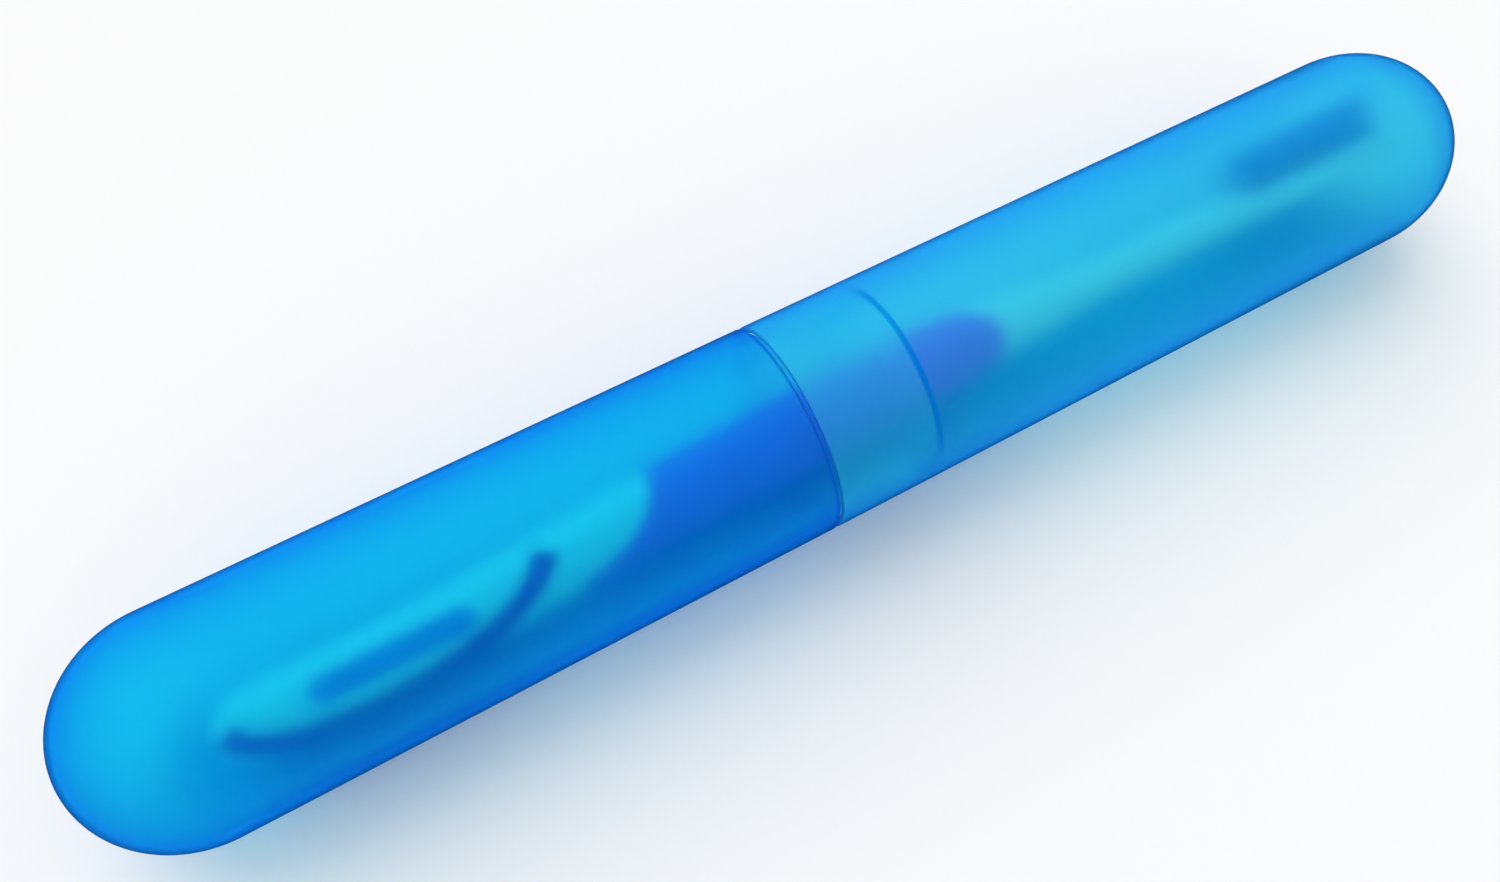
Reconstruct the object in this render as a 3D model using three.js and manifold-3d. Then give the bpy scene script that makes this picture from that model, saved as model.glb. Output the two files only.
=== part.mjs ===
// Travel toothbrush holder: a frosted plastic tube with round ends, in two push-fit halves, and the
// toothbrush that lies in it. Millimetres, +Z up. The tube lies along X on a surface at Z = 0, with
// the body half at -X and the cap half at +X. The origin is under the middle of the tube.
//
// The brush is built first, in a frame of its own: x runs from its tail end to its head, y is the way
// its bristles point and z is across it. The tube is then sized around it.

import * as THREE from 'three';
import { mergeGeometries, mergeVertices } from 'three/addons/utils/BufferGeometryUtils.js';
import Module from 'manifold-3d';

const wasm = await Module();
wasm.setup();

// Tube
const BODY_LENGTH = 93.5; // closed end to shoulder
const NECK_LENGTH = 16; // the stepped-down end that the cap slides over
const NECK_WALL = 0.95;
const NECK_CHAMFER = 0.4; // lead-in on the neck's end
const CAP_WALL = 0.9;
const FIT_CLEARANCE = 0.2; // neck to cap, on each side
const SEAM_GAP = 0.7; // shoulder to cap rim
const BORE_ROOM = 2.42; // the bore's radius beyond what the brush needs
const TAIL_ROOM = 6; // spare length in the body's round end
const HEAD_ROOM = 0.86; // spare length in the cap's round end
const TUBE_FACETS = 32;
const DOME_STEPS = 7;

// Brush, as lengths along the handle
const TAIL_LENGTH = 60; // tail end to the grip's upper edge
const GRIP_LENGTH = 53;
const SHANK_LENGTH = 44.8; // grip to head
const HEAD_LENGTH = 29;

// Brush sections: thickness in y, width in z, and the height of the middle above the tube's axis
const TAIL = { thickness: 9.9, width: 11.8, height: -3.7 };
const WAIST = { thickness: 10, width: 11.4, height: -1.7 };
const GRIP = { thickness: 10.9, width: 12.4, height: -0.75 };
const COLLAR = { thickness: 8.8, width: 9.6, height: -0.5 };
const SHANK = { thickness: 5.8, width: 6, height: -0.6 };
const HEAD = { thickness: 3.8, width: 11, height: -1.5 };
const TAIL_ROUND = 6; // length of the rounded tail end
const TAIL_BELLY = 27; // tail end to where its section starts to change
const GRIP_PEAK = 33; // grip's upper edge to its thickest place
const SHANK_TAPER = 20; // grip to where the shank is slim
const SHANK_FLARE = 4; // slim shank to head
const SHANK_ROOT = 5.5; // of the shank, inside the head
const SECTION_POWER = 2.4; // 2 is an ellipse, more is squarer
const SECTION_POINTS = 20;
const SPAN_STEPS = 5; // sections between two named ones

// Rubber inlays in the handle
const INLAY_DEPTH = 1;
const INLAY_PROUD = 0.3;
const INLAY_GAP = 0.3; // to the pocket that holds it
const GRIP_POINT = 12.5; // how far the grip's lower edge runs out towards the tail
const GRIP_LIP = 2.5; // how far its upper edge runs out
const TONGUE_PULL = new THREE.Vector2(6, -2.2); // of the handle's tongue between them, into the grip
const GRIP_END_ROUND = 9; // length of the grip's round end towards the head
const GRIP_END_REACH = 6.2; // of the round end, above and below its middle
const GRIP_END_HEIGHT = -1.2; // of the round end's middle
const STRIP_WIDTH = 2;
const STRIP_FLARE = 1.2; // by which the strip's ends are wider
const STRIP_START = new THREE.Vector2(2.9, -3.2);
const STRIP_START_PULL = new THREE.Vector2(4, -11);
const STRIP_END_PULL = new THREE.Vector2(40, -10.5);
const STRIP_END = new THREE.Vector2(44.5, -0.4);
const STRIP_STEPS = 12;
const PAD_START = 13;
const PAD_LENGTH = 21;
const PAD_WIDTH = 3.2;
const PAD_HEIGHT = -3.5;
const ROUND_STEPS = 6; // in a half circle or half ellipse

// Head and bristles
const HEAD_BEVEL = 0.7;
const HEAD_TIP_ROUND = 6.5; // length of the head's rounded tip
const HEAD_ROOT_ROUND = 9; // length over which the head widens from the shank
const HEAD_RIM = 0.8; // of the head around the bristle field
const FIELD_THICKNESS = 1.2; // of the slices that hold the bristles
const FIELD_GAP = 0.3; // around and under each slice
const BRISTLE_ROWS = 4;
const BRISTLE_LENGTH = 7.4;
const BRISTLE_RADIUS = 0.2;
const BRISTLE_TIP_RADIUS = 0.13;
const BRISTLE_ROOT = 0.3; // of each bristle, inside its slice
const BRISTLE_SIDES = 3;
const TUFT_SIDE = 3; // bristles along each side of a square tuft
const TUFT_MARGIN = 0.35; // tuft to the edge of its slice
const TUFT_PITCH = 2.6; // tuft to tuft along a row

// How the brush lies in the tube
const BRUSH_ROLL = THREE.MathUtils.degToRad(23.5); // bristles above level, towards +Y
const BRUSH_LEAN = THREE.MathUtils.degToRad(0.9); // head end above the tail end
const SEAT_GAP = 0.3; // handle to bore

const gripStart = TAIL_LENGTH;
const gripEnd = gripStart + GRIP_LENGTH;
const headStart = gripEnd + SHANK_LENGTH;
const headEnd = headStart + HEAD_LENGTH;
const headTop = HEAD.height + HEAD.thickness / 2;

function solidOf(geometry) {
  geometry.deleteAttribute('normal');
  geometry.deleteAttribute('uv');
  const merged = mergeVertices(geometry);
  const triVerts = new Uint32Array(merged.index.array);
  const vertProperties = merged.attributes.position.array;
  return new wasm.Manifold(new wasm.Mesh({ numProp: 3, vertProperties, triVerts }));
}

function geometryOf(solid) {
  const { vertProperties, triVerts } = solid.getMesh();
  const geometry = new THREE.BufferGeometry();
  geometry.setAttribute('position', new THREE.BufferAttribute(vertProperties, 3));
  geometry.setIndex(new THREE.BufferAttribute(triVerts, 1));
  geometry.computeVertexNormals();
  return geometry;
}

function piece(name, geometry, color, roughness) {
  const mesh = new THREE.Mesh(geometry, new THREE.MeshStandardMaterial({ color, roughness, metalness: 0 }));
  mesh.name = name;
  return mesh;
}

// Handle: a loft of rounded sections, larger all round by grow
function section(x, shape, scale, grow) {
  const ring = [];
  const bend = (value) => Math.sign(value) * Math.abs(value) ** (2 / SECTION_POWER);
  for (let i = 0; i < SECTION_POINTS; i++) {
    const angle = (i / SECTION_POINTS) * 2 * Math.PI;
    const y = shape.height + bend(Math.cos(angle)) * (shape.thickness / 2 + grow) * scale;
    ring.push(new THREE.Vector3(x, y, bend(Math.sin(angle)) * (shape.width / 2 + grow) * scale));
  }
  return ring;
}

function handleSections(grow) {
  const rings = [];
  for (let i = 1; i < ROUND_STEPS; i++) {
    const angle = (i / ROUND_STEPS) * (Math.PI / 2);
    const x = TAIL_ROUND - (TAIL_ROUND + grow) * Math.cos(angle);
    rings.push(section(x, TAIL, Math.sin(angle), grow));
  }
  const root = { thickness: HEAD.thickness - HEAD_BEVEL, width: SHANK.width, height: HEAD.height };
  const named = [
    [TAIL_ROUND, TAIL],
    [TAIL_BELLY, TAIL],
    [gripStart, WAIST],
    [gripStart + GRIP_PEAK, GRIP],
    [gripEnd, COLLAR],
    [gripEnd + SHANK_TAPER, SHANK],
    [headStart - SHANK_FLARE, SHANK],
    [headStart + SHANK_ROOT, root],
  ];
  const middles = new THREE.CatmullRomCurve3(
    named.map(([x, shape]) => new THREE.Vector3(x, shape.height, 0)), false, 'catmullrom');
  const sizes = new THREE.CatmullRomCurve3(
    named.map(([x, shape]) => new THREE.Vector3(x, shape.thickness, shape.width)), false, 'catmullrom');
  const steps = (named.length - 1) * SPAN_STEPS;
  for (let i = 0; i <= steps; i++) {
    const size = sizes.getPoint(i / steps);
    const height = middles.getPoint(i / steps).y;
    rings.push(section(size.x, { thickness: size.y, width: size.z, height }, 1, grow));
  }
  return rings;
}

function loft(rings, start, end) {
  const points = [start, ...rings.flat(), end];
  const count = rings[0].length;
  const last = points.length - 1;
  const index = [];
  for (let i = 0; i < count; i++) {
    const next = (i + 1) % count;
    index.push(0, 1 + next, 1 + i);
    for (let ring = 0; ring < rings.length - 1; ring++) {
      const near = 1 + ring * count;
      const far = near + count;
      index.push(near + i, near + next, far + i, near + next, far + next, far + i);
    }
    index.push(last - count + i, last - count + next, last);
  }
  const geometry = new THREE.BufferGeometry().setFromPoints(points);
  geometry.setIndex(index);
  return geometry;
}

function handleSolid(grow) {
  const rings = handleSections(grow);
  const tail = new THREE.Vector3(-grow, TAIL.height, 0);
  const root = new THREE.Vector3(rings.at(-1)[0].x, HEAD.height, 0);
  return solidOf(loft(rings, tail, root));
}

// Outlines of the rubber inlays, seen from the side of the brush and larger all round by grow
function gripOutline(grow) {
  const above = GRIP.thickness;
  const below = WAIST.height - WAIST.thickness / 2;
  const start = gripStart - grow;
  const middle = gripEnd - GRIP_END_ROUND;
  const round = GRIP_END_ROUND + grow;
  const shape = new THREE.Shape();
  shape.moveTo(start - GRIP_POINT, -above);
  shape.lineTo(start - GRIP_POINT, below);
  shape.quadraticCurveTo(start + TONGUE_PULL.x, TONGUE_PULL.y, start - GRIP_LIP, above);
  shape.lineTo(middle, above);
  shape.absellipse(middle, GRIP_END_HEIGHT, round, GRIP_END_REACH + grow, Math.PI / 2, -Math.PI / 2, true);
  shape.lineTo(middle, -above);
  return shape;
}

function stripOutline(grow) {
  const spine = new THREE.CubicBezierCurve(STRIP_START, STRIP_START_PULL, STRIP_END_PULL, STRIP_END);
  const above = [];
  const below = [];
  for (let i = 0; i <= STRIP_STEPS; i++) {
    const point = spine.getPointAt(i / STRIP_STEPS);
    const along = spine.getTangentAt(i / STRIP_STEPS);
    const flare = STRIP_FLARE * ((2 * i) / STRIP_STEPS - 1) ** 2;
    const side = new THREE.Vector2(-along.y, along.x).multiplyScalar((STRIP_WIDTH + flare) / 2 + grow);
    const overrun = i === 0 ? -grow : i === STRIP_STEPS ? grow : 0;
    point.addScaledVector(along, overrun);
    above.push(point.clone().add(side));
    below.unshift(point.clone().sub(side));
  }
  return new THREE.Shape([...above, ...below]);
}

function padOutline(grow) {
  const radius = PAD_WIDTH / 2;
  const shape = new THREE.Shape();
  shape.absarc(PAD_START + radius, PAD_HEIGHT, radius + grow, Math.PI / 2, 1.5 * Math.PI);
  shape.absarc(PAD_START + PAD_LENGTH - radius, PAD_HEIGHT, radius + grow, 1.5 * Math.PI, 2.5 * Math.PI);
  return shape;
}

function acrossBrush(shape, from, to) {
  const settings = { depth: to - from, bevelEnabled: false, curveSegments: ROUND_STEPS };
  return solidOf(new THREE.ExtrudeGeometry(shape, settings).translate(0, 0, from));
}

// Head: a rounded plate, in outlines drawn from the bristle side and smaller all round by inset
function headOutline(inset) {
  const half = HEAD.width / 2 - inset;
  const rootMiddle = headStart + HEAD_ROOT_ROUND;
  const tipMiddle = headEnd - HEAD_TIP_ROUND;
  const rootRound = HEAD_ROOT_ROUND - inset;
  const tipRound = HEAD_TIP_ROUND - inset;
  const shape = new THREE.Shape();
  shape.absellipse(rootMiddle, 0, rootRound, half, Math.PI / 2, 1.5 * Math.PI);
  shape.absellipse(tipMiddle, 0, tipRound, half, 1.5 * Math.PI, 2.5 * Math.PI);
  return shape;
}

function headHalfWidth(x, inset) {
  const half = HEAD.width / 2 - inset;
  const intoRoot = Math.max(0, headStart + HEAD_ROOT_ROUND - x) / (HEAD_ROOT_ROUND - inset);
  const intoTip = Math.max(0, x - headEnd + HEAD_TIP_ROUND) / (HEAD_TIP_ROUND - inset);
  return half * Math.sqrt(Math.max(0, 1 - intoRoot ** 2 - intoTip ** 2));
}

function headPlate(inset, bottom, top, bevel) {
  const settings = {
    depth: top - bottom - 2 * bevel,
    bevelEnabled: bevel > 0,
    bevelThickness: bevel,
    bevelSize: bevel,
    bevelOffset: -bevel,
    bevelSegments: 1,
    curveSegments: ROUND_STEPS,
  };
  const geometry = new THREE.ExtrudeGeometry(headOutline(inset), settings);
  return solidOf(geometry.rotateX(-Math.PI / 2).translate(0, bottom + bevel, 0));
}

// Bristles: one slice of the bristle field for each row, with its tufts standing on it
function bristleRow(row) {
  const inset = HEAD_RIM + FIELD_GAP;
  const rowPitch = (HEAD.width - 2 * HEAD_RIM - FIELD_GAP) / BRISTLE_ROWS;
  const sliceWidth = rowPitch - FIELD_GAP;
  const across = (row - (BRISTLE_ROWS - 1) / 2) * rowPitch;
  const plate = headPlate(inset, headTop - FIELD_THICKNESS, headTop, 0);
  const band = new THREE.BoxGeometry(HEAD_LENGTH, HEAD.thickness, sliceWidth);
  const slice = plate.intersect(solidOf(band.translate(headStart + HEAD_LENGTH / 2, headTop, across)));

  const tuftWidth = sliceWidth - 2 * TUFT_MARGIN;
  const spacing = (tuftWidth - 2 * BRISTLE_RADIUS) / (TUFT_SIDE - 1);
  const outer = Math.abs(across) + tuftWidth / 2;
  const tufts = Math.floor((HEAD_LENGTH - 2 * inset) / TUFT_PITCH);
  const strands = [];
  for (let tuft = 0; tuft < tufts; tuft++) {
    const x = headStart + HEAD_LENGTH / 2 + (tuft - (tufts - 1) / 2) * TUFT_PITCH;
    const ends = [x - tuftWidth / 2, x + tuftWidth / 2];
    if (ends.every((end) => headHalfWidth(end, inset) > outer)) {
      strands.push(...tuftStrands(x, across, spacing));
    }
  }
  return slice.add(solidOf(mergeGeometries(strands)));
}

function tuftStrands(x, z, spacing) {
  const strands = [];
  const length = BRISTLE_LENGTH + BRISTLE_ROOT;
  const middle = headTop - BRISTLE_ROOT + length / 2;
  for (let i = 0; i < TUFT_SIDE ** 2; i++) {
    const along = (i % TUFT_SIDE) - (TUFT_SIDE - 1) / 2;
    const over = Math.floor(i / TUFT_SIDE) - (TUFT_SIDE - 1) / 2;
    const strand = new THREE.CylinderGeometry(BRISTLE_TIP_RADIUS, BRISTLE_RADIUS, length, BRISTLE_SIDES);
    strands.push(strand.translate(x + along * spacing, middle, z + over * spacing));
  }
  return strands;
}

// Brush
const brush = new THREE.Group();
const sideReach = GRIP.width;
const inlayOuter = handleSolid(INLAY_PROUD);
const inlayInner = handleSolid(-INLAY_DEPTH);
const pocketFloor = handleSolid(-INLAY_DEPTH - INLAY_GAP);
let core = handleSolid(0).add(headPlate(0, headTop - HEAD.thickness, headTop, HEAD_BEVEL));
core = core.subtract(headPlate(HEAD_RIM, headTop - FIELD_THICKNESS - FIELD_GAP, headTop + HEAD_BEVEL, 0));

function inlay(name, outline, from, to, color) {
  const pocket = acrossBrush(outline(INLAY_GAP), from, to).subtract(pocketFloor);
  core = core.subtract(pocket);
  const rubber = acrossBrush(outline(0), from, to).intersect(inlayOuter).subtract(inlayInner);
  brush.add(piece(name, geometryOf(rubber), color, 0.7));
}

inlay('thumb_grip', gripOutline, -sideReach, sideReach, 0xe18ef1);
inlay('tail_strip', stripOutline, -sideReach, sideReach, 0x7c45bc);
inlay('tail_pad_left', padOutline, 0, sideReach, 0x50a2ed);
inlay('tail_pad_right', padOutline, -sideReach, 0, 0x50a2ed);
brush.add(piece('brush_handle', geometryOf(core), 0xf2f4f6, 0.35));
for (let row = 0; row < BRISTLE_ROWS; row++) {
  brush.add(piece(`bristle_row_${row + 1}`, geometryOf(bristleRow(row)), 0xcbefff, 0.5));
}
brush.position.x = -headEnd / 2;
const laidBrush = new THREE.Group();
laidBrush.add(brush);
laidBrush.rotation.set(BRUSH_ROLL, -BRUSH_LEAN, 0);
laidBrush.updateMatrixWorld(true);

// Every corner of the brush as it lies, from which the tube takes its bore, length and the brush its seat
const corners = brush.children.flatMap((mesh) => {
  const place = mesh.geometry.attributes.position;
  return Array.from({ length: place.count }, (_, i) =>
    new THREE.Vector3().fromBufferAttribute(place, i).applyMatrix4(mesh.matrixWorld));
});
const reach = Math.max(...corners.map((corner) => Math.hypot(corner.y, corner.z)));
const boreRadius = reach + SEAT_GAP + BORE_ROOM;
const neckRadius = boreRadius + NECK_WALL;
const capBoreRadius = neckRadius + FIT_CLEARANCE;
const tubeRadius = capBoreRadius + CAP_WALL;

// The brush's side sinks towards the bore until SEAT_GAP is left at its nearest corner
const sink = new THREE.Vector3(0, 0, -1).applyQuaternion(laidBrush.quaternion).setX(0).normalize();
const drop = Math.min(...corners.map((corner) => {
  const level = corner.y * sink.y + corner.z * sink.z;
  const off = corner.y ** 2 + corner.z ** 2;
  return Math.sqrt((boreRadius - SEAT_GAP) ** 2 - off + level ** 2) - level;
}));
corners.forEach((corner) => corner.addScaledVector(sink, drop));

// Middles of the two round ends, far enough out to clear the brush
function chord(corner, radius) {
  return Math.sqrt(Math.max(0, (radius - SEAT_GAP) ** 2 - corner.y ** 2 - corner.z ** 2));
}
const bodyEnd = Math.min(...corners.map((corner) => corner.x + chord(corner, boreRadius))) - TAIL_ROOM;
const capEnd = Math.max(...corners.map((corner) => corner.x - chord(corner, capBoreRadius))) + HEAD_ROOM;
const shoulder = bodyEnd - tubeRadius + BODY_LENGTH;
const mouth = shoulder + NECK_LENGTH;
const rim = shoulder + SEAM_GAP;

// Tube halves: profiles of radius against x, turned about the tube's axis with one facet facing down
function dome(middle, radius, from, to) {
  const points = [];
  for (let i = 0; i <= DOME_STEPS; i++) {
    const angle = from + ((to - from) * i) / DOME_STEPS;
    points.push(new THREE.Vector2(radius * Math.cos(angle), middle + radius * Math.sin(angle)));
  }
  return points;
}

function turned(profile) {
  const halfFacet = Math.PI / TUBE_FACETS;
  const cornerPoints = profile.map((point) => new THREE.Vector2(point.x / Math.cos(halfFacet), point.y));
  const geometry = new THREE.LatheGeometry(cornerPoints, TUBE_FACETS, Math.PI + halfFacet);
  return geometry.rotateZ(-Math.PI / 2);
}

const bodyProfile = [
  ...dome(bodyEnd, tubeRadius, -Math.PI / 2, 0),
  new THREE.Vector2(tubeRadius, shoulder),
  new THREE.Vector2(neckRadius, shoulder),
  new THREE.Vector2(neckRadius, mouth - NECK_CHAMFER),
  new THREE.Vector2(neckRadius - NECK_CHAMFER, mouth),
  new THREE.Vector2(boreRadius, mouth),
  ...dome(bodyEnd, boreRadius, 0, -Math.PI / 2),
];
const capProfile = [
  ...dome(capEnd, capBoreRadius, Math.PI / 2, 0),
  new THREE.Vector2(capBoreRadius, rim),
  new THREE.Vector2(tubeRadius, rim),
  ...dome(capEnd, tubeRadius, 0, Math.PI / 2),
];

laidBrush.position.copy(sink).multiplyScalar(drop);
const holder = new THREE.Group();
holder.add(piece('body_shell', geometryOf(solidOf(turned(bodyProfile))), 0x1ba8e6, 0.4));
holder.add(piece('cap_shell', geometryOf(solidOf(turned(capProfile))), 0x4cc2ee, 0.4));
holder.add(laidBrush);
holder.position.set(-(bodyEnd + capEnd) / 2, 0, tubeRadius);

const assembly = new THREE.Group();
assembly.add(holder);

export default assembly;
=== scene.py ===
"""Travel toothbrush holder: the looks of the frosted tube and of the toothbrush that lies in it.

The tube lies along X, with its body half at -X and its cap half at +X. The brush has a frame of its
own: x runs from its tail end to its head, y is the way its bristles point and z is across it.
"""

from math import atan2, cos, copysign, floor, inf, pi, radians, sin, sqrt

import bmesh
import bpy
from bpy.props import (
    FloatProperty,
    FloatVectorProperty,
    IntProperty,
    PointerProperty,
)
from mathutils import Matrix, Vector
from mathutils.geometry import interpolate_bezier


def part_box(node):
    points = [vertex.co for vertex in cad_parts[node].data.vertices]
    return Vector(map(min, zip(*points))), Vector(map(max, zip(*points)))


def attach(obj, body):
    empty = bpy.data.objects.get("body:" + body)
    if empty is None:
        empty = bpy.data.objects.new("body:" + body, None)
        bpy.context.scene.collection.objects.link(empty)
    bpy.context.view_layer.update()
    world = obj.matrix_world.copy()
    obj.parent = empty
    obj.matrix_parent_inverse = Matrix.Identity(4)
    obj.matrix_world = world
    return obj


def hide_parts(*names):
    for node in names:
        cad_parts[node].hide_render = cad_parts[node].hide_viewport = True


bl_info = {
    "name": "Toothbrush Holder",
    "version": (1, 0, 0),
    "blender": (4, 5, 0),
    "location": "View3D > Sidebar > Holder",
    "description": "Builds a frosted travel toothbrush holder with the toothbrush in it",
    "category": "Add Mesh",
}

MM = 0.001

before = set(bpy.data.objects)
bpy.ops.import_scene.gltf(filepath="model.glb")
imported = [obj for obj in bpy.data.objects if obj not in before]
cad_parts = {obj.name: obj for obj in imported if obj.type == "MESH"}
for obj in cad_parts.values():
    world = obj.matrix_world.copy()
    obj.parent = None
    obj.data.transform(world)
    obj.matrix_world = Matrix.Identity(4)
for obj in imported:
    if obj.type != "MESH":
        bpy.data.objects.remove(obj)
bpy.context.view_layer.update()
body_low, body_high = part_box("body_shell")
cap_low, cap_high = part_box("cap_shell")
brush_low, brush_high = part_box("brush_handle")

# Fineness of the round forms
TUBE_STEPS = 144
DOME_STEPS = 28
EDGE_STEPS = 3
SECTION_POINTS = 56
HANDLE_RINGS = 150
OUTLINE_POINTS = 48
STRAND_SIDES = 5

# Limits for merging points and for telling edges and faces apart
SAME_POLE = 0.001 * MM  # points of a turned profile that lie on its axis
SAME_PLACE = 0.0005 * MM
BORE_SLACK = 0.01 * MM  # within which a face counts as part of a bore
LEVEL_SLACK = 0.01 * MM  # within which an edge counts as level
ROUNDED_ANGLE = radians(60)  # from which an edge of the tube is rounded
SMOOTH_ANGLE = radians(35)  # up to which an edge is shaded smooth


def distance(name, description, default):
    """A length or place that a user may change."""
    return FloatProperty(
        name=name, description=description, default=default, precision=5, subtype="DISTANCE", unit="LENGTH"
    )


def colour(name, description, default):
    """A colour that a user may change."""
    return FloatVectorProperty(
        name=name, description=description, default=default, min=0, max=1, size=3, subtype="COLOR"
    )


def share(name, description, default):
    """A share from 0 to 1 that a user may change."""
    return FloatProperty(
        name=name, description=description, default=default, min=0, max=1, subtype="FACTOR"
    )


class TubeSettings(bpy.types.PropertyGroup):
    """Sizes and finish of the tube's two halves."""

    radius: distance("Radius", "Outside of the tube, from its axis", (body_high.z - body_low.z) / 2)
    body_end: distance("Body End", "Place of the body's round end along the tube", body_low.x)
    cap_end: distance("Cap End", "Place of the cap's round end along the tube", cap_high.x)
    mouth: distance("Mouth", "Place of the neck's open end along the tube", body_high.x)
    rim: distance("Rim", "Place of the cap's open end along the tube", cap_low.x)
    neck_length: distance("Neck Length", "Length of the neck that the cap slides over", 16 * MM)
    # Painted shade: a band at the neck's open end keeps the body's deeper blue, as a dark line seen
    # through the cap
    mouth_painted_shade: distance("Mouth Band", "Deeper blue band at the neck's open end", 0.9 * MM)
    neck_wall: distance("Neck Wall", "Thickness of the neck", 0.95 * MM)
    cap_wall: distance("Cap Wall", "Thickness of the cap", 0.9 * MM)
    fit: distance("Fit", "Room between neck and cap, on each side", 0.2 * MM)
    edge_round: distance("Edge Round", "Rounding of the rim, shoulder and mouth", 0.16 * MM)
    body_glass: colour("Body Glass", "Tint of the light that goes through the body's wall", (0.02, 1, 1))
    body_milk: colour("Body Milk", "Colour of the haze in the body's skin", (0, 0.25, 1))
    body_glow: colour("Body Glow", "Light that the haze in the body's skin passes on", (0, 0, 1))
    body_edge: colour("Body Edge", "Colour of the body's haze at a slant", (0, 0.06, 0.95))
    body_haze: share("Body Haze", "Share of haze in the body's skin", 0.26)
    cap_glass: colour("Cap Glass", "Tint of the light that goes through the cap's wall", (0.1, 1, 1))
    cap_milk: colour("Cap Milk", "Colour of the haze in the cap's skin", (0, 0.62, 1))
    cap_glow: colour("Cap Glow", "Light that the haze in the cap's skin passes on", (0, 0, 1))
    cap_edge: colour("Cap Edge", "Colour of the cap's haze at a slant", (0, 0.18, 1))
    cap_haze: share("Cap Haze", "Share of haze in the cap's skin", 0.24)
    # The neck's glass and milk are a paler copy of the body's plastic: painted light, which lightens the
    # neck where it is seen through the cap
    neck_glass_painted_light: colour("Neck Glass", "Tint of the light that goes through the neck's wall", (0.8, 1, 1))
    neck_milk_painted_light: colour("Neck Milk", "Colour of the haze in the neck's skin", (0.72, 0.94, 1))
    neck_haze: share("Neck Haze", "Share of haze in the neck's skin", 0.24)
    edge_haze: share("Edge Haze", "Share of haze where a skin is seen at a slant", 0.65)
    # Painted shade along the tube's outline, where the wall is seen edge on
    edge_painted_shade: colour("Edge Line", "Colour of the wall where it is seen edge on", (0, 0.07, 0.25))
    frost: share("Frost", "How far the matt outside spreads light", 0.75)
    polish: share("Polish", "How far the smoother bore spreads light", 0.5)


class BrushSettings(bpy.types.PropertyGroup):
    """Sizes and colours of the toothbrush."""

    tail_length: distance("Tail Length", "Tail end to the grip's upper edge", 60 * MM)
    grip_length: distance("Grip Length", "Length of the rubber grip", 53 * MM)
    shank_length: distance("Shank Length", "Grip to head", 44.8 * MM)
    head_length: distance("Head Length", "Length of the head", 29 * MM)
    head_width: distance("Head Width", "Width of the head", 11 * MM)
    head_thickness: distance("Head Thickness", "Thickness of the head", 3.8 * MM)
    head_height: distance("Head Height", "Middle of the head above the brush's axis", -1.5 * MM)
    roll: FloatProperty(
        name="Roll",
        description="Bristles above level, towards the back of the tube",
        default=radians(23.5),
        subtype="ANGLE",
        unit="ROTATION",
    )
    lean: FloatProperty(
        name="Lean",
        description="Head end above the tail end",
        default=radians(0.9),
        subtype="ANGLE",
        unit="ROTATION",
    )
    drop: distance("Drop", "Brush's axis below the tube's axis", 3.316 * MM)
    rubber_proud: distance("Rubber Proud", "Rubber above the handle's skin", 0.3 * MM)
    rubber_depth: distance("Rubber Depth", "Rubber below the handle's skin", 1 * MM)
    bristle_length: distance("Bristle Length", "Bristles above the head", 7.4 * MM)
    strand_radius: distance("Strand Radius", "Thickness of one bristle, from its axis", 0.095 * MM)
    strands: IntProperty(name="Strands", description="Bristles in a tuft", default=37, min=1, max=80)
    handle_colour: colour("Handle Colour", "White moulded plastic", (0.84, 0.86, 0.88))
    grip_colour: colour("Grip Colour", "Soft rubber of the grip", (0.78, 0.2, 0.88))
    strip_colour: colour("Strip Colour", "Soft rubber of the tail strip", (0.2, 0.06, 0.5))
    pad_colour: colour("Pad Colour", "Soft rubber of the tail pads", (0.08, 0.36, 0.85))
    bristle_colour: colour("Bristle Colour", "Nylon bristles", (0.66, 0.84, 1))


class StageSettings(bpy.types.PropertyGroup):
    """Floor, light and camera."""

    floor_colour: colour("Floor Colour", "Plain pale floor", (0.94, 0.94, 0.94))
    sky: FloatProperty(name="Sky", description="Strength of the even light", default=0.72, min=0)
    key: FloatProperty(name="Key", description="Strength of the light from behind", default=1.2, min=0)
    key_softness: FloatProperty(
        name="Key Softness",
        description="Width of the light from behind",
        default=radians(60),
        subtype="ANGLE",
        unit="ROTATION",
    )
    key_aim: FloatVectorProperty(
        name="Key Aim",
        description="The way the light from behind falls",
        default=(0.1, -0.6, -0.9),
        subtype="XYZ",
    )
    camera_place: FloatVectorProperty(
        name="Camera Place",
        description="Where the camera stands",
        default=(-43.9 * MM, -55.3 * MM, 143.5 * MM),
        precision=4,
        subtype="TRANSLATION",
        unit="LENGTH",
    )
    camera_aim: FloatVectorProperty(
        name="Camera Aim",
        description="The way the camera looks",
        default=(0.2136, 0.389, -0.8961),
        subtype="XYZ",
    )
    lens: FloatProperty(
        name="Lens", description="Camera's focal length on a 36 mm sensor", default=26.4, unit="CAMERA"
    )


# Materials

PLASTIC_IOR = 1.1  # low, so that the walls blur what is behind them and hardly bend it
PLASTIC_SHEEN = (0.1, 0.6, 1)  # tint of what the plastic mirrors

# Slants run from 0, seen head on, to 1, seen edge on
SLANT_SPAN = (0, 0.8)  # over which the haze grows
# Painted shade: a dark line along the tube's outline, by how far the wall is seen edge on
PAINTED_SHADE_SPAN = (0.68, 0.95)  # over which the dark line along an outline grows
PAINTED_SHADE_SHARE = 0.85  # of the line's colour where it is darkest

# Share of a haze or a bristle that passes light on
GLOW_SHARE = 0.5
NECK_GLOW_SHARE = 0.25
STRAND_GLOW_SHARE = 0.6

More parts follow.
